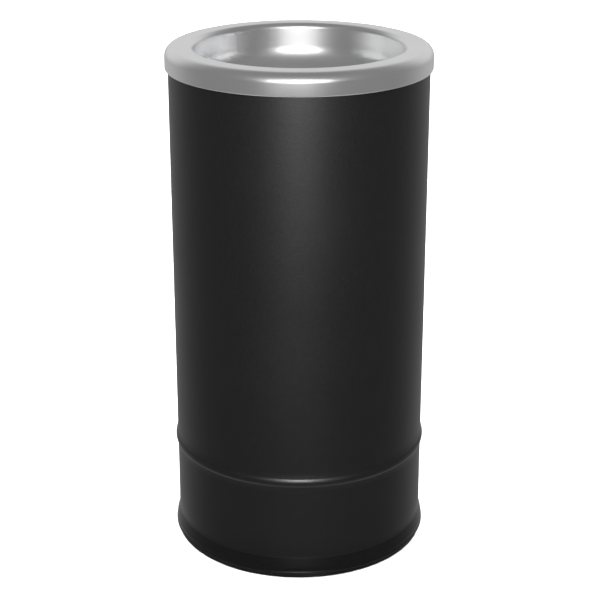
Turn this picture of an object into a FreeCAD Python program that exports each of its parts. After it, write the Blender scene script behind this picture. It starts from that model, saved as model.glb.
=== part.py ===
import FreeCAD, Part
import os
import Sketcher
from types import SimpleNamespace

# Floor-standing ashtray bin: a spun aluminium ash pan that lifts off a sheet-steel body,
# a galvanised pail with a swinging bail inside it, and a rubber glide ring under the foot.
# Origin: centre of the foot on the floor. +Z up, the bail's hinge axis along X.

DIMENSIONS = {
    # whole object
    "total_height": 508.0,
    "contact_gap": 0.3,
    # ash pan
    "rim_radius": 128.9,
    "pan_gauge": 1.2,
    "skirt_height": 21.5,
    "shoulder_radius": 9.4,
    "hem_height": 2.8,
    "hem_gauge": 1.75,
    "hem_round": 1.5,
    "hem_break": 0.2,
    "bowl_mouth_radius": 101.4,
    "bowl_roll_radius": 5.5,
    "bowl_depth": 45.0,
    "bowl_foot_radius": 99.5,
    "bowl_fillet": 24.0,
    # sheet-steel shell
    "shell_radius": 125.9,
    "shell_gauge": 0.9,
    "shell_upper_edge": 500.5,
    "bead_centre": 104.3,
    "bead_half_height": 9.6,
    "bead_knee_half_height": 4.2,
    "bead_knee": 0.75,
    "bead_peak": 3.08,
    "bead_crest_round": 7.0,
    "bead_knee_round": 3.8,
    "bead_blend_round": 28.0,
    # flared and hemmed lower edge of the shell
    "foot_bulge": 3.6,
    "foot_flare_top": 23.5,
    "foot_band": 0.7,
    "foot_band_top": 12.0,
    "foot_step": 0.5,
    "foot_step_top": 8.2,
    "foot_crest": 7.0,
    "foot_under": 5.8,
    "foot_hem_radius": 126.0,
    "foot_flare_blend": 18.0,
    "foot_band_round": 10.0,
    "foot_crest_round": 0.6,
    "foot_hem_round": 0.6,
    # rubber trim on the shell's upper edge
    "trim_leg": 8.5,
    "trim_wall": 0.9,
    "trim_crown": 2.4,
    "trim_round": 1.3,
    # pressed base plate
    "plate_top": 30.0,
    "plate_gauge": 1.0,
    "plate_bend": 3.5,
    # rubber foot ring
    "ring_radius": 127.4,
    "ring_sole_radius": 126.4,
    "ring_sole_rise": 1.0,
    "ring_inner_radius": 119.0,
    "ring_upstand_radius": 125.6,
    "ring_upstand_gauge": 3.0,
    "ring_upstand_top": 12.5,
    "ring_round": 1.2,
    # galvanised pail
    "pail_gauge": 0.6,
    "pail_rim_radius": 111.0,
    "pail_foot_radius": 100.0,
    "pail_rim_centre": 321.7,
    "pail_floor_rise": 10.0,
    "pail_floor_bend": 2.0,
    "curl_radius": 3.0,
    # ears, rivets and bail
    "ear_gauge": 2.0,
    "ear_angle": 12.6,
    "ear_leg": 30.0,
    "ear_above_pivot": 6.5,
    "ear_corner": 6.0,
    "ear_step_start": 12.0,
    "rivet_radius": 1.6,
    "rivet_head_radius": 3.2,
    "rivet_head": 1.2,
    "rivet_spread": 4.2,
    "drill_inset": 12.0,
    "drill_length": 18.0,
    "eye_drill_margin": 1.0,
    "pivot_rise": 8.5,
    "bail_radius": 2.0,
    "pin_clearance": 0.05,
    "pin_reach": 119.0,
    "pin_head_radius": 3.4,
    "pin_head": 1.4,
    "grip_radius": 5.0,
    "grip_angle": 48.0,
}


EAR_SIDES = (0, 180)


class Size:
    """A length or angle that keeps the spreadsheet formula it comes from."""

    def __init__(self, value, formula=None):
        self.value = float(value)
        self.formula = formula or repr(float(value))

    def join(self, sign, other, value):
        return Size(value, f"({self.formula} {sign} {other.formula})")

    def __add__(self, other):
        other = as_size(other)
        return self.join("+", other, self.value + other.value)

    def __sub__(self, other):
        other = as_size(other)
        return self.join("-", other, self.value - other.value)

    def __mul__(self, other):
        other = as_size(other)
        return self.join("*", other, self.value * other.value)

    def __truediv__(self, other):
        other = as_size(other)
        return self.join("/", other, self.value / other.value)


def as_size(number):
    return number if isinstance(number, Size) else Size(number)


def fill_sheet(doc):
    """Write the driving dimensions to the sheet and return them by name."""
    sheet = doc.addObject("Spreadsheet::Sheet", "dims")
    for row, (name, value) in enumerate(DIMENSIONS.items(), start=1):
        sheet.set(f"A{row}", name)
        sheet.set(f"B{row}", str(value))
        sheet.setAlias(f"B{row}", name)
    doc.recompute()
    return SimpleNamespace(**{name: Size(value, f"dims.{name}") for name, value in DIMENSIONS.items()})


def bind(feature, **sizes):
    """Tie each named property of a feature to its formula."""
    for name, size in sizes.items():
        feature.setExpression(name, as_size(size).formula)
    return feature


def new_body(doc, name):
    body = doc.addObject("PartDesign::Body", name)
    body.Label = name
    return body


def origin_plane(body, role):
    return next(item for item in body.Origin.OriginFeatures if item.Role == role)


def new_sketch(body, name, role):
    sketch = body.newObject("Sketcher::SketchObject", name)
    sketch.AttachmentSupport = [(origin_plane(body, role), "")]
    sketch.MapMode = "FlatFace"
    return sketch


def pin_coordinate(sketch, kind, axis, line, size):
    """Hold a line's start at a distance from the sketch's origin, or on the axis when that is zero."""
    if size.value == 0.0:
        sketch.addConstraint(Sketcher.Constraint("PointOnObject", line, 1, axis))
        return
    index = sketch.addConstraint(Sketcher.Constraint(kind, -1, 1, line, 1, size.value))
    sketch.setExpression(f"Constraints[{index}]", size.formula)


def outline(body, name, corners, role="XZ_Plane"):
    """Closed straight-sided outline through (radius, height) corners, each held by two sizes."""
    corners = [(as_size(across), as_size(up)) for across, up in corners]
    sketch = new_sketch(body, name, role)
    places = [FreeCAD.Vector(across.value, up.value, 0) for across, up in corners]
    for start, end in zip(places, places[1:] + places[:1]):
        sketch.addGeometry(Part.LineSegment(start, end), False)
    count = len(corners)
    for line in range(count):
        sketch.addConstraint(Sketcher.Constraint("Coincident", line, 2, (line + 1) % count, 1))
    for line, (across, up) in enumerate(corners):
        pin_coordinate(sketch, "DistanceX", -2, line, across)
        pin_coordinate(sketch, "DistanceY", -1, line, up)
    return sketch


def revolve(body, corners, angle=None):
    """Turn an outline round the Z axis, fully or through an angle centred on +X."""
    sketch = outline(body, f"{body.Name}_outline", corners)
    turned = body.newObject("PartDesign::Revolution", f"{body.Name}_turned")
    turned.Profile = sketch
    turned.ReferenceAxis = (sketch, ["V_Axis"])
    if angle is not None:
        turned.Midplane = True
        bind(turned, Angle=angle)
    sketch.Visibility = False
    body.Document.recompute()
    return turned


def ring_edges(shape, corners):
    """Names of the circular edges that stand at (radius, height)."""
    names = []
    for number, edge in enumerate(shape.Edges, start=1):
        if not isinstance(edge.Curve, Part.Circle):
            continue
        for across, up in corners:
            off_radius = abs(edge.Curve.Radius - as_size(across).value)
            off_height = abs(edge.Curve.Center.z - as_size(up).value)
            if off_radius < 1e-4 and off_height < 1e-4:
                names.append(f"Edge{number}")
    return names


def round_rings(body, name, radius, corners):
    """Round the turned edges at these corners."""
    base = body.Tip
    edges = ring_edges(base.Shape, corners)
    if len(edges) != len(corners):
        raise RuntimeError(f"{name}: {len(edges)} edges found for {len(corners)} corners")
    fillet = body.newObject("PartDesign::Fillet", name)
    fillet.Base = (base, edges)
    bind(fillet, Radius=radius)
    body.Document.recompute()
    return fillet


def primitive(doc, kind, name, **sizes):
    return bind(doc.addObject(kind, name), **sizes)


def boolean(doc, kind, name, base, tool):
    result = doc.addObject(kind, name)
    result.Base = base
    result.Tool = tool
    return result


def fuse(doc, name, shapes):
    result = doc.addObject("Part::MultiFuse", name)
    result.Shapes = shapes
    result.Refine = True
    return result


# ---------------------------------------------------------------- ash pan


def make_ash_pan(doc, d):
    """Spun pan: hemmed skirt, rounded shoulder, flat rim, rolled mouth and a flat-floored bowl."""
    body = new_body(doc, "ash_pan")
    top = d.total_height
    under = top - d.pan_gauge
    skirt_edge = top - d.skirt_height
    hem_top = skirt_edge + d.hem_height
    skirt_inside = d.rim_radius - d.pan_gauge
    hem_inside = d.rim_radius - d.hem_gauge
    floor = top - d.bowl_depth
    underfloor = floor - d.pan_gauge
    mouth_outside = d.bowl_mouth_radius + d.pan_gauge
    foot_outside = d.bowl_foot_radius + d.pan_gauge
    revolve(
        body,
        [
            (0, floor),
            (d.bowl_foot_radius, floor),
            (d.bowl_mouth_radius, top),
            (d.rim_radius, top),
            (d.rim_radius, skirt_edge),
            (hem_inside, skirt_edge),
            (hem_inside, hem_top),
            (skirt_inside, hem_top),
            (skirt_inside, under),
            (mouth_outside, under),
            (foot_outside, underfloor),
            (0, underfloor),
        ],
    )
    round_rings(body, "bowl_fillet_inside", d.bowl_fillet, [(d.bowl_foot_radius, floor)])
    round_rings(body, "bowl_fillet_below", d.bowl_fillet + d.pan_gauge, [(foot_outside, underfloor)])
    round_rings(body, "mouth_roll", d.bowl_roll_radius, [(d.bowl_mouth_radius, top)])
    round_rings(body, "mouth_roll_below", d.bowl_roll_radius - d.pan_gauge, [(mouth_outside, under)])
    round_rings(body, "shoulder", d.shoulder_radius, [(d.rim_radius, top)])
    round_rings(body, "shoulder_below", d.shoulder_radius - d.pan_gauge, [(skirt_inside, under)])
    round_rings(body, "hem_outside", d.hem_round, [(d.rim_radius, skirt_edge)])
    round_rings(body, "hem_inside", d.hem_break, [(hem_inside, skirt_edge)])
    return body


# ---------------------------------------------------------------- standing body


def bead_corners(d, radius, upwards):
    """The bead's foot, knee, peak, knee and foot on one face of the sheet."""
    corners = [
        (radius, d.bead_centre - d.bead_half_height),
        (radius + d.bead_knee, d.bead_centre - d.bead_knee_half_height),
        (radius + d.bead_peak, d.bead_centre),
        (radius + d.bead_knee, d.bead_centre + d.bead_knee_half_height),
        (radius, d.bead_centre + d.bead_half_height),
    ]
    return corners if upwards else corners[::-1]


def foot_corners(d, radius):
    """Crest, step, band and flare of the foot, upwards, on a face of the sheet at this radius."""
    crest = radius + d.foot_bulge
    return [
        (crest, d.foot_crest),
        (crest - d.foot_step, d.foot_step_top),
        (crest - d.foot_band, d.foot_band_top),
        (radius, d.foot_flare_top),
    ]


def make_body_shell(doc, d):
    """Rolled, butt-welded tube with a stiffening bead and a foot flared out and hemmed under."""
    body = new_body(doc, "body_shell")
    inside = d.shell_radius - d.shell_gauge
    outer_bead = bead_corners(d, d.shell_radius, upwards=True)
    inner_bead = bead_corners(d, inside, upwards=False)
    outer_foot = foot_corners(d, d.shell_radius)
    inner_foot = foot_corners(d, inside)[::-1]
    crest = outer_foot[0][0]
    crest_inside = inner_foot[-1][0]
    hem_top = d.foot_under + d.shell_gauge
    revolve(
        body,
        [(d.foot_hem_radius, d.foot_under), (crest, d.foot_under)]
        + outer_foot
        + outer_bead
        + [(d.shell_radius, d.shell_upper_edge), (inside, d.shell_upper_edge)]
        + inner_bead
        + inner_foot
        + [(crest_inside, hem_top), (d.foot_hem_radius, hem_top)],
    )
    round_rings(body, "bead_crest", d.bead_crest_round, outer_bead[2:3])
    round_rings(body, "bead_crest_inside", d.bead_crest_round - d.shell_gauge, inner_bead[2:3])
    round_rings(body, "bead_knees", d.bead_knee_round, outer_bead[1:4:2])
    round_rings(body, "bead_knees_inside", d.bead_knee_round + d.shell_gauge, inner_bead[1:4:2])
    round_rings(body, "bead_blends", d.bead_blend_round, outer_bead[0:5:4])
    round_rings(body, "bead_blends_inside", d.bead_blend_round + d.shell_gauge, inner_bead[0:5:4])
    round_rings(body, "foot_blend", d.foot_flare_blend, outer_foot[3:])
    round_rings(body, "foot_blend_inside", d.foot_flare_blend + d.shell_gauge, inner_foot[:1])
    round_rings(body, "foot_band", d.foot_band_round, outer_foot[2:3])
    round_rings(body, "foot_band_inside", d.foot_band_round - d.shell_gauge, inner_foot[1:2])
    round_rings(body, "foot_crest", d.foot_crest_round, outer_foot[:2])
    round_rings(body, "foot_hem", d.foot_hem_round, [(crest, d.foot_under)])
    return body


def make_edge_trim(doc, d):
    """Rubber U-channel pushed over the shell's upper edge; the pan's shoulder sits on it."""
    body = new_body(doc, "edge_trim")
    inside = d.shell_radius - d.shell_gauge
    leg_end = d.shell_upper_edge - d.trim_leg
    crown = d.shell_upper_edge + d.trim_crown
    outermost = d.shell_radius + d.trim_wall
    innermost = inside - d.trim_wall
    revolve(
        body,
        [
            (innermost, leg_end),
            (inside, leg_end),
            (inside, d.shell_upper_edge),
            (d.shell_radius, d.shell_upper_edge),
            (d.shell_radius, leg_end),
            (outermost, leg_end),
            (outermost, crown),
            (innermost, crown),
        ],
    )
    round_rings(body, "trim_crown", d.trim_round, [(outermost, crown), (innermost, crown)])
    return body


def make_base_plate(doc, d):
    """Pressed steel disc whose flange follows the shell down and is gripped by the foot's hem."""
    body = new_body(doc, "base_plate")
    outside = d.shell_radius - d.shell_gauge
    flange_outside = foot_corners(d, outside)
    flange_inside = foot_corners(d, outside - d.plate_gauge)[::-1]
    flange_end = d.foot_under + d.shell_gauge
    web_under = d.plate_top - d.plate_gauge
    revolve(
        body,
        [(0, web_under), (outside - d.plate_gauge, web_under)]
        + flange_inside
        + [(flange_inside[-1][0], flange_end), (flange_outside[0][0], flange_end)]
        + flange_outside
        + [(outside, d.plate_top), (0, d.plate_top)],
    )
    flare_round = d.foot_flare_blend + d.shell_gauge
    round_rings(body, "plate_flare", flare_round, [(outside, d.foot_flare_top)])
    round_rings(body, "plate_band", d.foot_band_round - d.shell_gauge, flange_outside[2:3])
    round_rings(body, "plate_bend", d.plate_bend, [(outside, d.plate_top)])
    below = d.plate_bend - d.plate_gauge
    round_rings(body, "plate_bend_below", below, [(outside - d.plate_gauge, web_under)])
    return body


def make_base_ring(doc, d):
    """Rubber glide ring under the foot's hem, held by an upstand inside the flange."""
    body = new_body(doc, "base_ring")
    upstand_inside = d.ring_upstand_radius - d.ring_upstand_gauge
    revolve(
        body,
        [
            (d.ring_inner_radius, 0),
            (d.ring_sole_radius, 0),
            (d.ring_radius, d.ring_sole_rise),
            (d.ring_radius, d.foot_under),
            (d.ring_upstand_radius, d.foot_under),
            (d.ring_upstand_radius, d.ring_upstand_top),
            (upstand_inside, d.ring_upstand_top),
            (d.ring_inner_radius, d.foot_under),
        ],
    )
    flanks = [(d.ring_radius, d.ring_sole_rise), (d.ring_radius, d.foot_under)]
    round_rings(body, "ring_flanks", d.ring_round, flanks)
    return body


# ---------------------------------------------------------------- pail


def pail_radius(d, height):
    """Middle of the pail's tapered sheet at a height."""
    foot = d.plate_top + d.contact_gap
    taper = (d.pail_rim_radius - d.pail_foot_radius) / (d.pail_rim_centre - foot)
    return d.pail_foot_radius + taper * (height - foot)


def rivet_places(d):
    """Angles and heights of the rivets: two under each ear."""
    low = d.pail_rim_centre + d.pivot_rise - d.ear_leg - d.contact_gap
    turns = (-d.rivet_spread.value, d.rivet_spread.value)
    return [(side + turn, low) for side in EAR_SIDES for turn in turns]


def radial_cylinder(doc, name, radius, start, length, angle, height):
    """Cylinder that points outward from the Z axis."""
    cylinder = primitive(doc, "Part::Cylinder", name, Radius=radius, Height=length)
    turn = FreeCAD.Rotation(FreeCAD.Vector(0, 0, 1), angle)
    lean = FreeCAD.Rotation(FreeCAD.Vector(0, 1, 0), 90)
    outward = turn.multVec(FreeCAD.Vector(start.value, 0, height.value))
    cylinder.Placement = FreeCAD.Placement(outward, turn.multiply(lean))
    return cylinder


def rivet_holes(doc, d, name):
    """Four cylinders that drill the wall and the ears."""
    start = d.pail_rim_radius - d.drill_inset
    drills = [
        radial_cylinder(doc, f"{name}_{n}", d.rivet_radius, start, d.drill_length, angle, height)
        for n, (angle, height) in enumerate(rivet_places(d), start=1)
    ]
    group = doc.addObject("Part::Compound", name)
    group.Links = drills
    return group


def make_pail_wall(doc, d):
    """Tapered sheet wall whose upper edge is curled round a wire."""
    foot = d.plate_top + d.contact_gap
    half = d.pail_gauge / 2
    sheet = new_body(doc, "pail_sheet")
    revolve(
        sheet,
        [
            (d.pail_foot_radius - half, foot),
            (d.pail_foot_radius + half, foot),
            (d.pail_rim_radius + half, d.pail_rim_centre),
            (d.pail_rim_radius - half, d.pail_rim_centre),
        ],
    )
    curl = primitive(doc, "Part::Torus", "pail_curl", Radius1=d.pail_rim_radius, Radius2=d.curl_radius)
    wire_radius = d.curl_radius - d.pail_gauge
    bore = primitive(doc, "Part::Torus", "pail_curl_bore", Radius1=d.pail_rim_radius, Radius2=wire_radius)
    for ring in (curl, bore):
        ring.setExpression("Placement.Base.z", d.pail_rim_centre.formula)
    joined = fuse(doc, "pail_sheet_and_curl", [sheet, curl])
    hollow = boolean(doc, "Part::Cut", "pail_wall_undrilled", joined, bore)
    wall = boolean(doc, "Part::Cut", "pail_wall", hollow, rivet_holes(doc, d, "wall_drills"))
    return wall


def make_pail_rim_wire(doc, d):
    wire_radius = d.curl_radius - d.pail_gauge
    wire = primitive(doc, "Part::Torus", "pail_rim_wire", Radius1=d.pail_rim_radius, Radius2=wire_radius)
    wire.setExpression("Placement.Base.z", d.pail_rim_centre.formula)
    return wire


def make_pail_bottom(doc, d):
    """Pressed disc with a turned-down edge that follows the tapered wall."""
    body = new_body(doc, "pail_bottom")
    foot = d.plate_top + d.contact_gap
    half = d.pail_gauge / 2
    top = foot + d.pail_floor_rise
    under = top - d.pail_gauge
    edge_low = pail_radius(d, foot) - half
    edge_high = pail_radius(d, top) - half
    revolve(
        body,
        [
            (0, under),
            (pail_radius(d, under) - half - d.pail_gauge, under),
            (edge_low - d.pail_gauge, foot),
            (edge_low, foot),
            (edge_high, top),
            (0, top),
        ],
    )
    round_rings(body, "pail_floor_bend", d.pail_floor_bend, [(edge_high, top)])
    return body


def make_pail_ear(doc, d, name, side):
    """Joggled lug riveted under the curl, with an eye for the bail above it."""
    body = new_body(doc, f"{name}_blank")
    pivot = d.pail_rim_centre + d.pivot_rise
    top = pivot + d.ear_above_pivot
    low = pivot - d.ear_leg - d.ear_above_pivot
    step_low = d.pail_rim_centre - d.ear_step_start
    step_high = d.pail_rim_centre - d.curl_radius
    wall_half = d.pail_gauge / 2
    foot_low = pail_radius(d, low) + wall_half
    foot_high = pail_radius(d, step_low) + wall_half
    clear = d.pail_rim_radius + d.curl_radius + d.contact_gap
    revolve(
        body,
        [
            (foot_low, low),
            (foot_low + d.ear_gauge, low),
            (foot_high + d.ear_gauge, step_low),
            (clear + d.ear_gauge, step_high),
            (clear + d.ear_gauge, top),
            (clear, top),
            (clear, step_high),
            (foot_high, step_low),
        ],
        angle=d.ear_angle,
    )
    round_ear_corners(body, d)
    body.Placement.Rotation = FreeCAD.Rotation(FreeCAD.Vector(0, 0, 1), side)
    eye_radius = d.bail_radius + d.pin_clearance
    eye_start = clear - d.eye_drill_margin
    eye_length = d.ear_gauge + d.eye_drill_margin + d.eye_drill_margin
    eye = radial_cylinder(doc, f"{name}_eye", eye_radius, eye_start, eye_length, side, pivot)
    drilled = boolean(doc, "Part::Cut", f"{name}_with_eye", body, eye)
    ear = boolean(doc, "Part::Cut", name, drilled, rivet_holes(doc, d, f"{name}_drills"))
    return ear


def round_ear_corners(body, d):
    """Round the four radial edges at the ear's top and bottom."""
    base = body.Tip
    edges = []
    for number, edge in enumerate(base.Shape.Edges, start=1):
        straight = isinstance(edge.Curve, Part.Line)
        ends = [vertex.Point for vertex in edge.Vertexes]
        if straight and abs(ends[0].z - ends[1].z) < 1e-6 and edge.Length < d.ear_gauge.value * 1.01:
            edges.append(f"Edge{number}")
    if len(edges) != 4:
        raise RuntimeError(f"{body.Label}: {len(edges)} corner edges instead of 4")
    fillet = body.newObject("PartDesign::Fillet", f"{body.Name}_corners")
    fillet.Base = (base, edges)
    bind(fillet, Radius=d.ear_corner)
    body.Document.recompute()


def make_pail_rivets(doc, d):
    """Four rivets, each a shank with a head on the ear and a head inside the pail."""
    group = doc.addObject("Part::Compound", "pail_rivets")
    rivets = []
    for number, (angle, height) in enumerate(rivet_places(d), start=1):
        inner_face = pail_radius(d, height) - d.pail_gauge / 2
        outer_face = pail_radius(d, height) + d.pail_gauge / 2 + d.ear_gauge
        name = f"rivet_{number}"
        span = outer_face - inner_face
        shank = radial_cylinder(doc, f"{name}_shank", d.rivet_radius, inner_face, span, angle, height)
        outer = radial_cylinder(
            doc, f"{name}_outer_head", d.rivet_head_radius, outer_face, d.rivet_head, angle, height
        )
        inner_start = inner_face - d.rivet_head
        inner = radial_cylinder(
            doc, f"{name}_inner_head", d.rivet_head_radius, inner_start, d.rivet_head, angle, height
        )
        rivets.append(fuse(doc, name, [shank, outer, inner]))
    group.Links = rivets
    return group


# ---------------------------------------------------------------- bail


def make_bail_wire(doc, d):
    """Half hoop over the rim, with an elbow, a pin and a headed end at each ear."""
    pivot = d.pail_rim_centre + d.pivot_rise
    hoop = primitive(doc, "Part::Torus", "bail_hoop", Radius1=d.pail_rim_radius, Radius2=d.bail_radius)
    hoop.Angle3 = 180
    hoop.Placement = FreeCAD.Placement(
        FreeCAD.Vector(0, 0, pivot.value), FreeCAD.Rotation(FreeCAD.Vector(0, 0, 1), 180)
    )
    pieces = [hoop]
    for number, side in enumerate(EAR_SIDES, start=1):
        elbow = primitive(doc, "Part::Sphere", f"bail_elbow_{number}", Radius=d.bail_radius)
        turn = FreeCAD.Rotation(FreeCAD.Vector(0, 0, 1), side)
        elbow.Placement.Base = turn.multVec(FreeCAD.Vector(d.pail_rim_radius.value, 0, pivot.value))
        reach = d.pin_reach - d.pail_rim_radius
        pin = radial_cylinder(
            doc, f"bail_pin_{number}", d.bail_radius, d.pail_rim_radius, reach, side, pivot
        )
        head_start = d.pin_reach - d.pin_head
        head = radial_cylinder(
            doc, f"bail_head_{number}", d.pin_head_radius, head_start, d.pin_head, side, pivot
        )
        pieces += [elbow, pin, head]
    return fuse(doc, "bail_wire", pieces)


def make_bail_grip(doc, d):
    """Moulded sleeve on the middle of the hoop."""
    pivot = d.pail_rim_centre + d.pivot_rise
    start = 270 - d.grip_angle.value / 2
    sleeve = primitive(
        doc, "Part::Torus", "grip_sleeve",
        Radius1=d.pail_rim_radius, Radius2=d.grip_radius, Angle3=d.grip_angle,
    )
    sleeve.Placement = FreeCAD.Placement(
        FreeCAD.Vector(0, 0, pivot.value), FreeCAD.Rotation(FreeCAD.Vector(0, 0, 1), start)
    )
    core = primitive(
        doc, "Part::Torus", "grip_core", Radius1=d.pail_rim_radius, Radius2=d.bail_radius
    )
    core.Placement.Base = FreeCAD.Vector(0, 0, pivot.value)
    return boolean(doc, "Part::Cut", "bail_grip", sleeve, core)


# ---------------------------------------------------------------- document


def check_document(doc, parts):
    for item in doc.Objects:
        bad = {"Invalid", "Error"} & set(item.State)
        if bad:
            raise RuntimeError(f"{item.Name} is {sorted(bad)}")
    for part in parts:
        if part.Shape.isNull() or not part.Shape.isValid():
            raise RuntimeError(f"{part.Label} has no valid shape")


def main():
    os.makedirs("parts", exist_ok=True)
    doc = FreeCAD.newDocument("ashtray_bin")
    d = fill_sheet(doc)
    parts = [
        make_body_shell(doc, d),
        make_edge_trim(doc, d),
        make_base_plate(doc, d),
        make_base_ring(doc, d),
        make_ash_pan(doc, d),
        make_pail_wall(doc, d),
        make_pail_rim_wire(doc, d),
        make_pail_bottom(doc, d),
        make_pail_ear(doc, d, "pail_ear_right", 0),
        make_pail_ear(doc, d, "pail_ear_left", 180),
        make_pail_rivets(doc, d),
        make_bail_wire(doc, d),
        make_bail_grip(doc, d),
    ]
    doc.recompute()
    check_document(doc, parts)
    for part in parts:
        part.Shape.exportStep(f"parts/{part.Label}.step")
        box = part.Shape.BoundBox
        print(
            f"{part.Label:16s} solids {len(part.Shape.Solids)} volume {part.Shape.Volume:10.1f} "
            f"z {box.ZMin:7.2f} to {box.ZMax:7.2f} x to {box.XMax:7.2f} y {box.YMin:7.2f}"
        )


main()
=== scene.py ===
import math

import bpy
from mathutils import Matrix, Vector


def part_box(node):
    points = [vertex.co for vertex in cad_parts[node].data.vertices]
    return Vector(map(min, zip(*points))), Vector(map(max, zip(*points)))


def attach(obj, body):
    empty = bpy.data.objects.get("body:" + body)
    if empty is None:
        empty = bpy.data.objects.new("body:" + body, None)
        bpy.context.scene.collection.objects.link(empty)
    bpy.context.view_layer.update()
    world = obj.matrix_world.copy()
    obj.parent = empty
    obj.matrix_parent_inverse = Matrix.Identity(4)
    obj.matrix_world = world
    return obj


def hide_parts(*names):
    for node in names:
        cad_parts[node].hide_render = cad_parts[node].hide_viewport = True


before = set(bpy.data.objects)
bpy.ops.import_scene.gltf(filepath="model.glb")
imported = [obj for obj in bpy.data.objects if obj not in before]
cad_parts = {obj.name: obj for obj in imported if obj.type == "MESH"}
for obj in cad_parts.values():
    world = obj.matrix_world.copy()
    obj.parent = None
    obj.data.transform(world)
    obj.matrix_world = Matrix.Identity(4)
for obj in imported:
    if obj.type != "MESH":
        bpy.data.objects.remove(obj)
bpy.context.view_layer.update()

TURNS = 288          # facets round a lathed piece
ARC_STEP = 6.0       # degrees of a rounded corner per point
SHARP_EDGE = 35.0    # degrees
ON_AXIS = 1e-7       # a corner closer to the axis than this is on it
MM = 0.001
ROOM_LIGHT = 0.24    # brightness of the room round the object
WALL_LIGHT = 0.55    # what the pale wall behind it adds
SWEEP_LIGHT = 0.3    # what the sides add towards the back, below eye level
TABLE_LIGHT = 0.6    # what the lit floor close round the foot adds
GAP_DEPTH = 0.75     # how much of the room's light the dark gap in front takes away

# ------------------------------------------------------------------ node helpers


class Material:
    """A node material built step by step; every socket is given a value or another socket."""

    def __init__(self, name):
        self.data = bpy.data.materials.new(name)
        self.data.use_nodes = True
        self.nodes = self.data.node_tree.nodes
        self.links = self.data.node_tree.links
        self.shader = self.nodes["Principled BSDF"]

    def put(self, socket, value):
        if isinstance(value, bpy.types.NodeSocket):
            self.links.new(value, socket)
        else:
            socket.default_value = value

    def node(self, kind, inputs=(), **settings):
        made = self.nodes.new(kind)
        for name, value in settings.items():
            setattr(made, name, value)
        for name, value in dict(inputs).items():
            self.put(made.inputs[name], value)
        return made

    def shade(self, **values):
        for name, value in values.items():
            self.put(self.shader.inputs[name.replace("_", " ")], value)

    def place(self):
        return self.node("ShaderNodeTexCoord").outputs["Object"]

    def noise(self, where, scale, detail=2.0, roughness=0.5):
        inputs = {"Vector": where, "Scale": scale, "Detail": detail, "Roughness": roughness}
        return self.node("ShaderNodeTexNoise", inputs).outputs["Fac"]

    def math(self, operation, a, b=0.0):
        return self.node("ShaderNodeMath", {0: a, 1: b}, operation=operation).outputs[0]

    def span(self, value, low, high, start=0.0, end=1.0):
        """Map a value from start..end to low..high."""
        inputs = {"Value": value, "From Min": start, "From Max": end, "To Min": low, "To Max": high}
        return self.node("ShaderNodeMapRange", inputs).outputs["Result"]

    def colours(self, value, low, high, start=0.0, end=1.0):
        """Blend from one colour to another as a value goes from start to end."""
        ramp = self.node("ShaderNodeValToRGB", {"Fac": value})
        ramp.color_ramp.elements[0].position = start
        ramp.color_ramp.elements[1].position = end
        ramp.color_ramp.elements[0].color = (*low, 1.0)
        ramp.color_ramp.elements[1].color = (*high, 1.0)
        return ramp.outputs["Color"]

    def bump(self, height, distance, strength=1.0, normal=None):
        inputs = {"Height": height, "Distance": distance, "Strength": strength}
        if normal is not None:
            inputs["Normal"] = normal
        return self.node("ShaderNodeBump", inputs).outputs["Normal"]

    def lathe_place(self, where):
        """(radius, height) of a point: constant along the lines a lathe tool leaves."""
        split = self.node("ShaderNodeSeparateXYZ", {"Vector": where})
        square_x = self.math("MULTIPLY", split.outputs["X"], split.outputs["X"])
        square_y = self.math("MULTIPLY", split.outputs["Y"], split.outputs["Y"])
        radius = self.math("SQRT", self.math("ADD", square_x, square_y))
        joined = self.node("ShaderNodeCombineXYZ", {"X": radius, "Y": split.outputs["Z"]})
        return joined.outputs["Vector"]


# ------------------------------------------------------------------ materials


def spun_aluminium():
    """Satin aluminium with the fine rings of spinning and faint handling marks."""
    m = Material("spun_aluminium")
    where = m.place()
    rings = m.lathe_place(where)
    fine = m.noise(rings, 2600.0, 3.0, 0.65)
    broad = m.noise(rings, 420.0, 2.0)
    smudge = m.noise(where, 22.0, 4.0)
    tone = m.math("ADD", m.math("MULTIPLY", fine, 0.7), m.math("MULTIPLY", smudge, 0.3))
    rough = m.math("ADD", m.span(fine, 0.33, 0.38, 0.3, 0.7), m.span(smudge, -0.02, 0.03, 0.3, 0.7))
    tangent = m.node("ShaderNodeTangent", direction_type="RADIAL", axis="Z").outputs["Tangent"]
    normal = m.bump(fine, 0.00002, 0.2)
    m.shade(
        Base_Color=m.colours(tone, (0.79, 0.79, 0.795), (0.84, 0.84, 0.845), 0.35, 0.65),
        Metallic=1.0,
        Roughness=rough,
        Anisotropic=0.2,
        Anisotropic_Rotation=0.25,
        Tangent=tangent,
        Normal=m.bump(broad, 0.00004, 0.15, normal),
    )
    return m.data


def powder_coat(name, sheen_level):
    """Black powder coat with a fine pebbled texture, a little glossier at its lower edge."""
    m = Material(name)
    where = m.place()
    pebble = m.noise(where, 950.0, 2.0, 0.6)
    swell = m.noise(where, 260.0, 2.0)
    dust = m.noise(where, 9.0, 5.0)
    height = m.node("ShaderNodeSeparateXYZ", {"Vector": where}).outputs["Z"]
    flow = m.span(height, 0.3, 0.4, 0.012, 0.04)
    normal = m.bump(pebble, 0.00012, 0.55)
    worn = m.math("ADD", flow, m.span(dust, -0.02, 0.02, 0.3, 0.7))
    m.shade(
        Base_Color=m.colours(pebble, (0.0012, 0.0012, 0.0013), (0.003, 0.003, 0.0031), 0.3, 0.7),
        Metallic=0.0,
        Roughness=m.math("ADD", m.span(pebble, -0.03, 0.03, 0.3, 0.7), worn),
        Specular_IOR_Level=sheen_level,
        Normal=m.bump(swell, 0.0002, 0.2, normal),
    )
    return m.data


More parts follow.
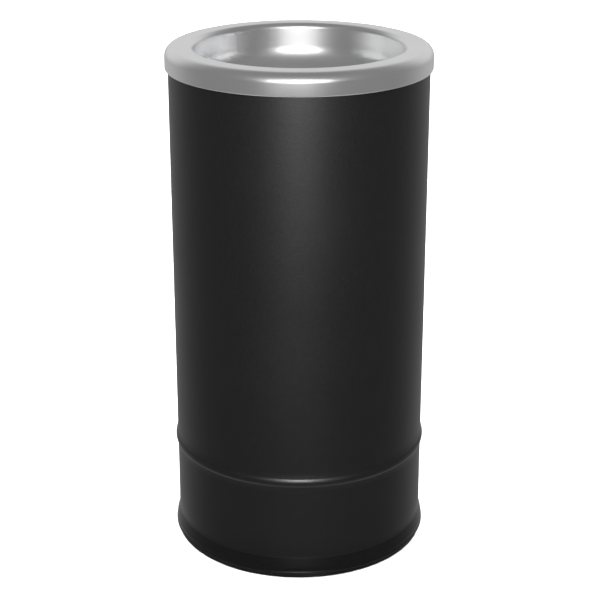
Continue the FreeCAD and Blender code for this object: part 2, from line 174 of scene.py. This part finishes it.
def moulded_rubber():
    """Black rubber: dull, faintly mottled, with moulding flow lines round the ring."""
    m = Material("moulded_rubber")
    where = m.place()
    grain = m.noise(where, 1400.0, 3.0)
    flow = m.noise(m.lathe_place(where), 900.0, 2.0)
    bloom = m.noise(where, 30.0, 4.0)
    m.shade(
        Base_Color=m.colours(bloom, (0.002, 0.002, 0.002), (0.005, 0.005, 0.005), 0.35, 0.7),
        Roughness=m.span(grain, 0.42, 0.55, 0.3, 0.7),
        Specular_IOR_Level=0.14,
        Normal=m.bump(flow, 0.00008, 0.4, m.bump(grain, 0.00006, 0.4)),
    )
    return m.data


def galvanised_steel():
    """Hot-dip zinc: flat crystals of slightly different tone and gloss."""
    m = Material("galvanised_steel")
    where = m.place()
    warp = m.noise(where, 60.0, 3.0)
    sideways, upwards = m.span(warp, -0.004, 0.004), m.span(warp, 0.004, -0.004)
    push = m.node("ShaderNodeCombineXYZ", {"X": sideways, "Z": upwards}).outputs["Vector"]
    moved = m.node("ShaderNodeVectorMath", {0: where, 1: push}, operation="ADD")
    cells = m.node("ShaderNodeTexVoronoi", {"Vector": moved.outputs["Vector"], "Scale": 75.0})
    crystal = m.node("ShaderNodeSeparateColor", {"Color": cells.outputs["Color"]}).outputs["Red"]
    feather = m.noise(where, 420.0, 4.0, 0.7)
    tone = m.math("ADD", m.math("MULTIPLY", crystal, 0.65), m.math("MULTIPLY", feather, 0.35))
    m.shade(
        Base_Color=m.colours(tone, (0.36, 0.375, 0.385), (0.62, 0.64, 0.65), 0.2, 0.8),
        Metallic=1.0,
        Roughness=m.span(tone, 0.3, 0.5, 0.2, 0.8),
        Normal=m.bump(feather, 0.00006, 0.3),
    )
    return m.data


def zinc_wire():
    """Bright zinc plate over drawn wire."""
    m = Material("zinc_wire")
    where = m.place()
    haze = m.noise(where, 180.0, 4.0)
    scratch = m.noise(where, 2200.0, 2.0)
    m.shade(
        Base_Color=m.colours(haze, (0.5, 0.5, 0.49), (0.68, 0.68, 0.67), 0.3, 0.7),
        Metallic=1.0,
        Roughness=m.span(haze, 0.24, 0.4, 0.3, 0.7),
        Normal=m.bump(scratch, 0.00003, 0.3),
    )
    return m.data


def grip_plastic():
    """Moulded black plastic with a fine eroded texture."""
    m = Material("grip_plastic")
    where = m.place()
    spark = m.noise(where, 1800.0, 2.0)
    wear = m.noise(where, 55.0, 4.0)
    m.shade(
        Base_Color=m.colours(wear, (0.012, 0.012, 0.012), (0.028, 0.028, 0.029), 0.35, 0.7),
        Roughness=m.span(wear, 0.38, 0.55, 0.3, 0.7),
        Normal=m.bump(spark, 0.00005, 0.5),
    )
    return m.data


def studio_floor():
    """Pale seamless paper that brightens into the white backdrop far from the object."""
    m = Material("studio_floor")
    where = m.place()
    fibre = m.noise(where, 4.0, 4.0)
    away = m.node("ShaderNodeVectorMath", {"Vector": where}, operation="LENGTH").outputs["Value"]
    m.shade(
        Base_Color=m.colours(fibre, (0.9, 0.9, 0.9), (0.93, 0.93, 0.93), 0.3, 0.7),
        Roughness=0.9,
        Specular_IOR_Level=0.1,
        Emission_Color=(1.0, 1.0, 1.0, 1.0),
        Emission_Strength=m.span(away, 0.0, 0.9, 1.2, 3.5),
    )
    return m.data


# ------------------------------------------------------------------ mesh helpers


def rounded(corners):
    """Closed outline through (radius, height, rounding) corners, with true arcs at rounded ones."""
    points = []
    count = len(corners)
    for i, (x, y, rounding) in enumerate(corners):
        here = Vector((x, y))
        if rounding <= 0.0:
            points.append(here)
            continue
        before = Vector(corners[i - 1][:2]) - here
        after = Vector(corners[(i + 1) % count][:2]) - here
        before.normalize()
        after.normalize()
        opening = before.angle(after)
        reach = rounding / math.tan(opening / 2)
        middle = here + (before + after).normalized() * (rounding / math.sin(opening / 2))
        start = here + before * reach - middle
        end = here + after * reach - middle
        turn = math.pi - opening
        side = 1.0 if start.x * end.y > start.y * end.x else -1.0
        steps = max(2, math.ceil(math.degrees(turn) / ARC_STEP))
        for k in range(steps + 1):
            angle = side * turn * k / steps
            spin = Matrix.Rotation(angle, 2)
            points.append(middle + spin @ start)
    return points


def mesh_piece(name, vertices, faces, material):
    """Object with smooth shading, except at edges sharper than SHARP_EDGE."""
    mesh = bpy.data.meshes.new(name)
    mesh.from_pydata([tuple(v) for v in vertices], [], faces)
    mesh.validate()
    mesh.shade_smooth()
    mesh.set_sharp_from_angle(angle=math.radians(SHARP_EDGE))
    piece = bpy.data.objects.new(name, mesh)
    bpy.context.scene.collection.objects.link(piece)
    piece.data.materials.append(material)
    return piece


def lathe(name, corners, material, turns=TURNS):
    """Turn a closed outline round Z. Corners on the axis become one vertex."""
    outline = rounded(corners)
    rings, vertices, faces = [], [], []
    for point in outline:
        if point.x < ON_AXIS:
            rings.append([len(vertices)] * turns)
            vertices.append(Vector((0, 0, point.y)))
            continue
        rings.append(range(len(vertices), len(vertices) + turns))
        for k in range(turns):
            a = 2 * math.pi * k / turns
            vertices.append(Vector((point.x * math.cos(a), point.x * math.sin(a), point.y)))
    for low, high in zip(rings, rings[1:] + rings[:1]):
        if low[0] == low[1] and high[0] == high[1]:
            continue
        for k in range(turns):
            n = (k + 1) % turns
            face = [low[k], low[n], high[n], high[k]]
            face = [v for i, v in enumerate(face) if v not in face[:i]]
            faces.append(face)
    return mesh_piece(name, vertices, faces, material)


def tube(name, path, radius, material, sides=24):
    """Round bar along a list of points, with flat ends."""
    points = [Vector(p) for p in path]
    before, after = points[:1] + points[:-1], points[1:] + points[-1:]
    tangents = [(b - a).normalized() for a, b in zip(before, after)]
    side = tangents[0].orthogonal().normalized()
    vertices, faces = [], []
    for point, along in zip(points, tangents):
        side = (side - along * side.dot(along)).normalized()
        other = along.cross(side)
        for k in range(sides):
            a = 2 * math.pi * k / sides
            vertices.append(point + (side * math.cos(a) + other * math.sin(a)) * radius)
    for row in range(len(points) - 1):
        for k in range(sides):
            n = (k + 1) % sides
            base = row * sides
            faces.append([base + k, base + n, base + sides + n, base + sides + k])
    last = (len(points) - 1) * sides
    faces.append([sides - 1 - k for k in range(sides)])
    faces.append([last + k for k in range(sides)])
    return mesh_piece(name, vertices, faces, material)


def finish_piece(piece, body, slot, *nodes):
    """Ride a piece on its body and take the place of its CAD nodes; the slot is not used."""
    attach(piece, body)
    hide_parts(*nodes)
    return piece


# ------------------------------------------------------------------ ash pan

PAN_GAUGE = 1.2 * MM
SKIRT_HEIGHT = 21.5 * MM
HEM_HEIGHT = 2.8 * MM
HEM_GAUGE = 1.75 * MM
HEM_ROUND = 1.5 * MM
RIM_TO_MOUTH = 27.5 * MM
RIM_TO_BOWL_FOOT = 29.4 * MM


def make_ash_pan(material):
    """Hemmed skirt, round shoulder, rolled mouth and bowl, spun from one sheet."""
    low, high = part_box("ash_pan")
    rim, top = high.x, high.z
    skirt = top - SKIRT_HEIGHT
    floor = low.z + PAN_GAUGE
    mouth, foot = rim - RIM_TO_MOUTH, rim - RIM_TO_BOWL_FOOT
    shoulder, roll, bowl = 9.4 * MM, 5.5 * MM, 24.0 * MM
    corners = [
        (0, floor, 0),
        (foot, floor, bowl),
        (mouth, top, roll),
        (rim, top, shoulder),
        (rim, skirt, HEM_ROUND),
        (rim - HEM_GAUGE, skirt, 0.2 * MM),
        (rim - HEM_GAUGE, skirt + HEM_HEIGHT, 0.3 * MM),
        (rim - PAN_GAUGE, skirt + HEM_HEIGHT, 0),
        (rim - PAN_GAUGE, top - PAN_GAUGE, shoulder - PAN_GAUGE),
        (mouth + PAN_GAUGE, top - PAN_GAUGE, roll - PAN_GAUGE),
        (foot + PAN_GAUGE, low.z, bowl + PAN_GAUGE),
        (0, low.z, 0),
    ]
    pan = lathe("spun_ash_pan", corners, material)
    return finish_piece(pan, "pan", "spun_aluminium", "ash_pan")


# ------------------------------------------------------------------ standing body

SHELL_GAUGE = 0.9 * MM
SHELL_RADIUS = 125.9 * MM
BEAD_HEIGHT = 104.3 * MM
BEAD_CREST_ROUND = 7.0 * MM
BEAD_KNEE_ROUND = 3.8 * MM
BEAD_BLEND = 28.0 * MM
FLARE_TOP = 23.5 * MM
FLARE_BLEND = 18.0 * MM
FOOT_COAT_TOP = 21.0 * MM
FOOT_BULGE = 3.6 * MM
FOOT_BAND = 0.7 * MM
FOOT_BAND_TOP = 12.0 * MM
FOOT_BAND_ROUND = 10.0 * MM
FOOT_STEP = 0.5 * MM
FOOT_STEP_TOP = 8.2 * MM
FOOT_CREST = 7.0 * MM
FOOT_ROUND = 0.6 * MM
HEM_END = 126.0 * MM
EDGE_ROUND = 0.3 * MM
RING_TOP = 5.8 * MM
RING_RADIUS = 127.4 * MM
RING_SOLE_RADIUS = 126.4 * MM
RING_SOLE_RISE = 1.0 * MM
RING_INNER_RADIUS = 119.0 * MM
RING_FLANK_ROUND = 1.2 * MM
UPSTAND_OUTSIDE = 125.6 * MM
UPSTAND_INSIDE = 122.6 * MM
TRIM_OUTSIDE = 126.8 * MM
TRIM_INSIDE = 124.1 * MM
TRIM_ROUND = 1.3 * MM


def bead(radius, inwards):
    """Corners of the raised bead, upwards, on the face this far in from the sheet's outside."""
    half, knee_half = 9.6 * MM, 4.2 * MM
    knee, peak = 0.75 * MM, 3.08 * MM
    return [
        (radius, BEAD_HEIGHT - half, BEAD_BLEND + inwards),
        (radius + knee, BEAD_HEIGHT - knee_half, BEAD_KNEE_ROUND + inwards),
        (radius + peak, BEAD_HEIGHT, BEAD_CREST_ROUND - inwards),
        (radius + knee, BEAD_HEIGHT + knee_half, BEAD_KNEE_ROUND + inwards),
        (radius, BEAD_HEIGHT + half, BEAD_BLEND + inwards),
    ]


def foot(radius, inwards):
    """Corners of the flared foot, upwards: its crest, step, band and the flare's top."""
    crest, rounding = radius + FOOT_BULGE, FOOT_ROUND if inwards == 0 else 0
    return [
        (crest, FOOT_CREST, rounding),
        (crest - FOOT_STEP, FOOT_STEP_TOP, rounding),
        (crest - FOOT_BAND, FOOT_BAND_TOP, FOOT_BAND_ROUND - inwards),
        (radius, FLARE_TOP, FLARE_BLEND + inwards),
    ]


def make_body_shell(material, foot_material):
    """Tube with a bead and a flared, hemmed foot whose coat is duller."""
    low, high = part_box("body_shell")
    out, inside = SHELL_RADIUS, SHELL_RADIUS - SHELL_GAUGE
    hem_top = low.z + SHELL_GAUGE
    corners = [
        (HEM_END, low.z, 0),
        (out + FOOT_BULGE, low.z, FOOT_ROUND),
        *foot(out, 0),
        *bead(out, 0),
        (out, high.z, EDGE_ROUND),
        (inside, high.z, EDGE_ROUND),
        *bead(inside, SHELL_GAUGE)[::-1],
        *foot(inside, SHELL_GAUGE)[::-1],
        (inside + FOOT_BULGE, hem_top, 0),
        (HEM_END, hem_top, 0),
    ]
    shell = lathe("coated_shell", corners, material)
    shell.data.materials.append(foot_material)
    for face in shell.data.polygons:
        if face.center.z < FOOT_COAT_TOP:
            face.material_index = 1
    return finish_piece(shell, "stand", "powder_coat", "body_shell")


def make_base_ring(material):
    """Glide ring with a sole, and an upstand that stands inside the base plate's flange."""
    low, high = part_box("base_ring")
    corners = [
        (RING_INNER_RADIUS, low.z, 0.5 * MM),
        (RING_SOLE_RADIUS, low.z, 0.4 * MM),
        (RING_RADIUS, RING_SOLE_RISE, RING_FLANK_ROUND),
        (RING_RADIUS, RING_TOP, RING_FLANK_ROUND),
        (UPSTAND_OUTSIDE, RING_TOP, 0),
        (UPSTAND_OUTSIDE, high.z, 0.6 * MM),
        (UPSTAND_INSIDE, high.z, 0.6 * MM),
        (RING_INNER_RADIUS, RING_TOP, 2.0 * MM),
    ]
    ring = lathe("rubber_foot_ring", corners, material)
    return finish_piece(ring, "stand", "rubber", "base_ring")


def make_edge_trim(material):
    """U-channel over the shell's upper edge."""
    low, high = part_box("edge_trim")
    shell_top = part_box("body_shell")[1].z
    corners = [
        (TRIM_INSIDE, low.z, EDGE_ROUND),
        (SHELL_RADIUS - SHELL_GAUGE, low.z, 0),
        (SHELL_RADIUS - SHELL_GAUGE, shell_top, 0),
        (SHELL_RADIUS, shell_top, 0),
        (SHELL_RADIUS, low.z, 0),
        (TRIM_OUTSIDE, low.z, EDGE_ROUND),
        (TRIM_OUTSIDE, high.z, TRIM_ROUND),
        (TRIM_INSIDE, high.z, TRIM_ROUND),
    ]
    trim = lathe("rubber_edge_trim", corners, material)
    return finish_piece(trim, "stand", "rubber", "edge_trim")


# ------------------------------------------------------------------ pail and bail

WIRE_RADIUS = 2.0 * MM
GRIP_RADIUS = 5.0 * MM
GRIP_VALLEY = 4.45 * MM
ELBOW_RADIUS = 3.5 * MM
ELBOW_STEPS = 8
HOOP_STEPS = 120
PIN_HEAD_RADIUS = 3.4 * MM
PIN_HEAD_HEIGHT = 1.4 * MM
RIVET_RADIUS = 1.6 * MM
RIVET_HEAD_RADIUS = 3.2 * MM
RIVET_LEAN = 4.2      # degrees from the middle of an ear to each of its rivets


def make_bail(wire_material, grip_material):
    """Wire hoop with a pin bent outwards at each end, its two pin heads and its sleeve."""
    low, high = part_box("bail_wire")
    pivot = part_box("bail_grip")[0].z + GRIP_RADIUS
    hoop = -low.y - WIRE_RADIUS
    reach = high.x
    path = [(reach - 0.2 * MM, 0, pivot), (hoop + ELBOW_RADIUS, 0, pivot)]
    for k in range(1, ELBOW_STEPS + 1):
        a = math.radians(90 * k / ELBOW_STEPS)
        along, across = 1 - math.sin(a), 1 - math.cos(a)
        path.append((hoop + ELBOW_RADIUS * along, -ELBOW_RADIUS * across, pivot))
    pin = path[:]
    start = math.asin(ELBOW_RADIUS / hoop)
    for k in range(1, HOOP_STEPS):
        a = start + (math.pi - 2 * start) * k / HOOP_STEPS
        path.append((hoop * math.cos(a), -hoop * math.sin(a), pivot))
    path += [(-x, y, z) for x, y, z in reversed(pin)]
    bar = tube("bail_bar", path, WIRE_RADIUS, wire_material)
    finish_piece(bar, "bail", "zinc_wire", "bail_wire")
    for side, label in ((1, "right"), (-1, "left")):
        make_pin_head(label, side, reach, pivot, wire_material)
    make_grip(hoop, pivot, grip_material)


def turned_to(piece, place, along):
    """Set a piece that was lathed round Z at a place, with its axis along a direction."""
    turn = along.to_track_quat("Z", "Y").to_matrix().to_4x4()
    piece.data.transform(Matrix.Translation(place) @ turn)
    return piece


def make_pin_head(label, side, reach, pivot, material):
    """Flattened end of the wire, outside the ear."""
    thick = PIN_HEAD_HEIGHT
    corners = [
        (0, 0, 0),
        (PIN_HEAD_RADIUS, 0, 0.3 * MM),
        (PIN_HEAD_RADIUS, thick, 0.6 * MM),
        (0, thick, 0),
    ]
    head = lathe(f"bail_pin_head_{label}", corners, material, turns=48)
    turned_to(head, Vector((side * (reach - thick), 0, pivot)), Vector((side, 0, 0)))
    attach(head, "bail")


def make_grip(hoop, pivot, material):
    """Sleeve with raised rings, swept along the middle of the hoop."""
    span, ribs, sides, steps = math.radians(48), 11, 40, 264
    bore, valley, crest = WIRE_RADIUS, GRIP_VALLEY, GRIP_RADIUS
    vertices, faces = [], []
    rows = []
    for k in range(steps + 1):
        t = k / steps
        a = -math.pi / 2 - span / 2 + span * t
        wave = 0.5 - 0.5 * math.cos(2 * math.pi * ribs * t)
        edge = min(1.0, min(t, 1 - t) * 40)
        radius = (valley + (crest - valley) * wave ** 0.6) * (0.82 + 0.18 * math.sqrt(edge))
        rows.append((a, radius))
    rows = [(rows[0][0], bore)] + rows + [(rows[-1][0], bore)]
    for a, radius in rows:
        out = Vector((math.cos(a), math.sin(a), 0))
        centre = out * hoop + Vector((0, 0, pivot))
        for s in range(sides):
            b = 2 * math.pi * s / sides
            vertices.append(centre + (out * math.cos(b) + Vector((0, 0, 1)) * math.sin(b)) * radius)
    for row in range(len(rows)):
        for s in range(sides):
            n = (s + 1) % sides
            here, there = row * sides, ((row + 1) % len(rows)) * sides
            faces.append([here + s, here + n, there + n, there + s])
    grip = mesh_piece("bail_grip_sleeve", vertices, faces, material)
    finish_piece(grip, "bail", "grip_plastic", "bail_grip")


def make_pail_rivets(material):
    """Domed heads outside the ears and flat heads inside the pail."""
    low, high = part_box("pail_rivets")
    height = (low.z + high.z) / 2
    outer = high.x
    number = 0
    for side in (0, 180):
        for lean in (-RIVET_LEAN, RIVET_LEAN):
            number += 1
            angle = math.radians(side + lean)
            along = Vector((math.cos(angle), math.sin(angle), 0))
            corners = [
                (0, -5.3 * MM, 0),
                (RIVET_HEAD_RADIUS, -5.3 * MM, 0.5 * MM),
                (RIVET_HEAD_RADIUS, -4.3 * MM, 0),
                (RIVET_RADIUS, -4.3 * MM, 0),
                (RIVET_RADIUS, -1.2 * MM, 0),
                (RIVET_HEAD_RADIUS, -1.2 * MM, 0),
                (3.1 * MM, -0.1 * MM, 1.0 * MM),
                (0, -0.02 * MM, 0),
            ]
            rivet = lathe(f"pail_rivet_{number}", corners, material, turns=40)
            turned_to(rivet, along * outer + Vector((0, 0, height)), along)
            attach(rivet, "pail")
            if number == 1:
                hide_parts("pail_rivets")


# ------------------------------------------------------------------ stage, light, camera

FLOOR_REACH = 6.0
DRUM_RADIUS = 5.9
DRUM_HEIGHT = 8.0
DRUM_SIDES = 48
KEY_PLACE = (0, -2.0, 1.05)
KEY_AIM = (0, -0.1, 0.5)
LENS = 95.46
SENSOR = 36.0
CAMERA_PLACE = (0.0008, -1.5047, 0.8186)
CAMERA_DIP = 20.81    # degrees below level


def make_floor(material):
    """Pale floor; the glossy finishes reflect the studio instead of it."""
    far = FLOOR_REACH
    vertices = [(-far, -far, 0), (far, -far, 0), (far, far, 0), (-far, far, 0)]
    floor = mesh_piece("studio_floor", vertices, [[0, 1, 2, 3]], material)
    floor.visible_glossy = False


def make_backdrop():
    """White drum round the set. Only the camera sees it, so it lights nothing."""
    m = Material("studio_backdrop")
    cloth = m.noise(m.place(), 2.0)
    m.shade(
        Base_Color=(0.0, 0.0, 0.0, 1.0),
        Emission_Color=m.colours(cloth, (0.98, 0.98, 0.98), (1.0, 1.0, 1.0)),
        Emission_Strength=1.0,
    )
    vertices, faces = [], []
    for k in range(DRUM_SIDES):
        a = 2 * math.pi * k / DRUM_SIDES
        n = (k + 1) % DRUM_SIDES
        for z in (-0.01, DRUM_HEIGHT):
            vertices.append((DRUM_RADIUS * math.cos(a), DRUM_RADIUS * math.sin(a), z))
        faces.append([2 * k, 2 * k + 1, 2 * n + 1, 2 * n])
    drum = mesh_piece("studio_backdrop", vertices, faces, m.data)
    drum.visible_glossy = drum.visible_diffuse = drum.visible_shadow = False


def softbox(name, place, aim, width, height, power, spread=180, glossy=True):
    """Rectangular studio light that faces its aim."""
    data = bpy.data.lights.new(name, "AREA")
    data.spread = math.radians(spread)
    data.shape = "RECTANGLE"
    data.size, data.size_y = width, height
    data.energy = power
    light = bpy.data.objects.new(name, data)
    light.location = place
    light.rotation_euler = (Vector(aim) - Vector(place)).to_track_quat("-Z", "Y").to_euler()
    light.visible_glossy = glossy
    bpy.context.scene.collection.objects.link(light)
    return light


def shine_on(light, piece, state):
    """Keep this light off one piece (EXCLUDE) or on that piece alone (INCLUDE)."""
    receivers = bpy.data.collections.new(light.name + "_receivers")
    receivers.objects.link(piece)
    receivers.collection_objects[0].light_linking.link_state = state
    light.light_linking.receiver_collection = receivers


def make_world():
    """Dim grey studio: a pale wall behind, a lit floor, a dark gap in front, a dim ceiling."""
    world = bpy.data.worlds.new("studio")
    bpy.context.scene.world = world
    world.use_nodes = True
    tree = world.node_tree

    def put(socket, value):
        if isinstance(value, bpy.types.NodeSocket):
            tree.links.new(value, socket)
        else:
            socket.default_value = value

    def span(value, start, end, low, high):
        ramp = tree.nodes.new("ShaderNodeMapRange")
        ramp.interpolation_type = "SMOOTHSTEP"
        inputs = {"Value": value, "From Min": start, "From Max": end, "To Min": low, "To Max": high}
        for name, given in inputs.items():
            put(ramp.inputs[name], given)
        return ramp.outputs["Result"]

    def combine(operation, a, b):
        node = tree.nodes.new("ShaderNodeMath")
        node.operation = operation
        put(node.inputs[0], a)
        put(node.inputs[1], b)
        return node.outputs[0]

    split = tree.nodes.new("ShaderNodeSeparateXYZ")
    put(split.inputs[0], tree.nodes.new("ShaderNodeTexCoord").outputs["Generated"])
    back, up = split.outputs["Y"], split.outputs["Z"]
    wall_top = span(up, 0.5, 0.75, 1.0, 0.0)
    wall = combine("MULTIPLY", span(back, 0.2, 0.8, 0.0, 1.0), span(up, -0.08, 0.12, 0.0, 1.0))
    wall = combine("MULTIPLY", wall, wall_top)
    sweep = combine("MULTIPLY", span(back, 0.0, 0.95, 0.0, 1.0), span(up, 0.1, -0.1, 0.0, 1.0))
    table = span(up, -0.68, -0.9, 0.0, 1.0)
    level = combine("MULTIPLY", span(up, -0.25, -0.1, 0.0, 1.0), span(up, 0.5, 0.3, 0.0, 1.0))
    gap = combine("MULTIPLY", span(back, -0.5, -0.9, 0.0, 1.0), level)
    strength = combine("ADD", combine("MULTIPLY", wall, WALL_LIGHT), ROOM_LIGHT)
    strength = combine("ADD", strength, combine("MULTIPLY", sweep, SWEEP_LIGHT))
    strength = combine("ADD", strength, combine("MULTIPLY", table, TABLE_LIGHT))
    strength = combine("SUBTRACT", strength, combine("MULTIPLY", gap, GAP_DEPTH * ROOM_LIGHT))
    put(tree.nodes["Background"].inputs["Strength"], strength)
    tree.nodes["Background"].inputs["Color"].default_value = (1.0, 1.0, 1.0, 1.0)


def make_camera():
    """Camera without shift, in front of the object and looking down on it."""
    data = bpy.data.cameras.new("camera")
    data.lens = LENS
    data.sensor_width = SENSOR
    camera = bpy.data.objects.new("camera", data)
    camera.location = CAMERA_PLACE
    camera.rotation_euler = (math.radians(90 - CAMERA_DIP), 0, 0)
    bpy.context.scene.collection.objects.link(camera)
    bpy.context.scene.camera = camera


def main():
    aluminium = spun_aluminium()
    coat = powder_coat("powder_coat", 0.36)
    foot_coat = powder_coat("powder_coat_foot", 0.2)
    rubber = moulded_rubber()
    zinc = galvanised_steel()
    wire = zinc_wire()
    plastic = grip_plastic()
    pan = make_ash_pan(aluminium)
    make_body_shell(coat, foot_coat)
    make_base_ring(rubber)
    make_edge_trim(rubber)
    make_bail(wire, plastic)
    make_pail_rivets(wire)
    kept = {
        "base_plate": coat,
        "pail_wall": zinc,
        "pail_bottom": zinc,
        "pail_ear_right": zinc,
        "pail_ear_left": zinc,
        "pail_rim_wire": wire,
    }
    for node, material in kept.items():
        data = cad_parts[node].data
        data.materials.clear()
        data.materials.append(material)
    make_floor(studio_floor())
    make_backdrop()
    make_world()
    softbox("overhead", (0, 0.3, 3.2), (0, 0.3, 0), 5.0, 5.0, 420, glossy=False)
    key = softbox("key", KEY_PLACE, KEY_AIM, 0.35, 0.5, 8.2, spread=55)
    shine_on(key, pan, "EXCLUDE")
    pan_key = softbox("pan_key", KEY_PLACE, KEY_AIM, 1.5, 0.5, 22)
    shine_on(pan_key, pan, "INCLUDE")
    bpy.context.scene.view_settings.view_transform = "Standard"
    make_camera()


main()
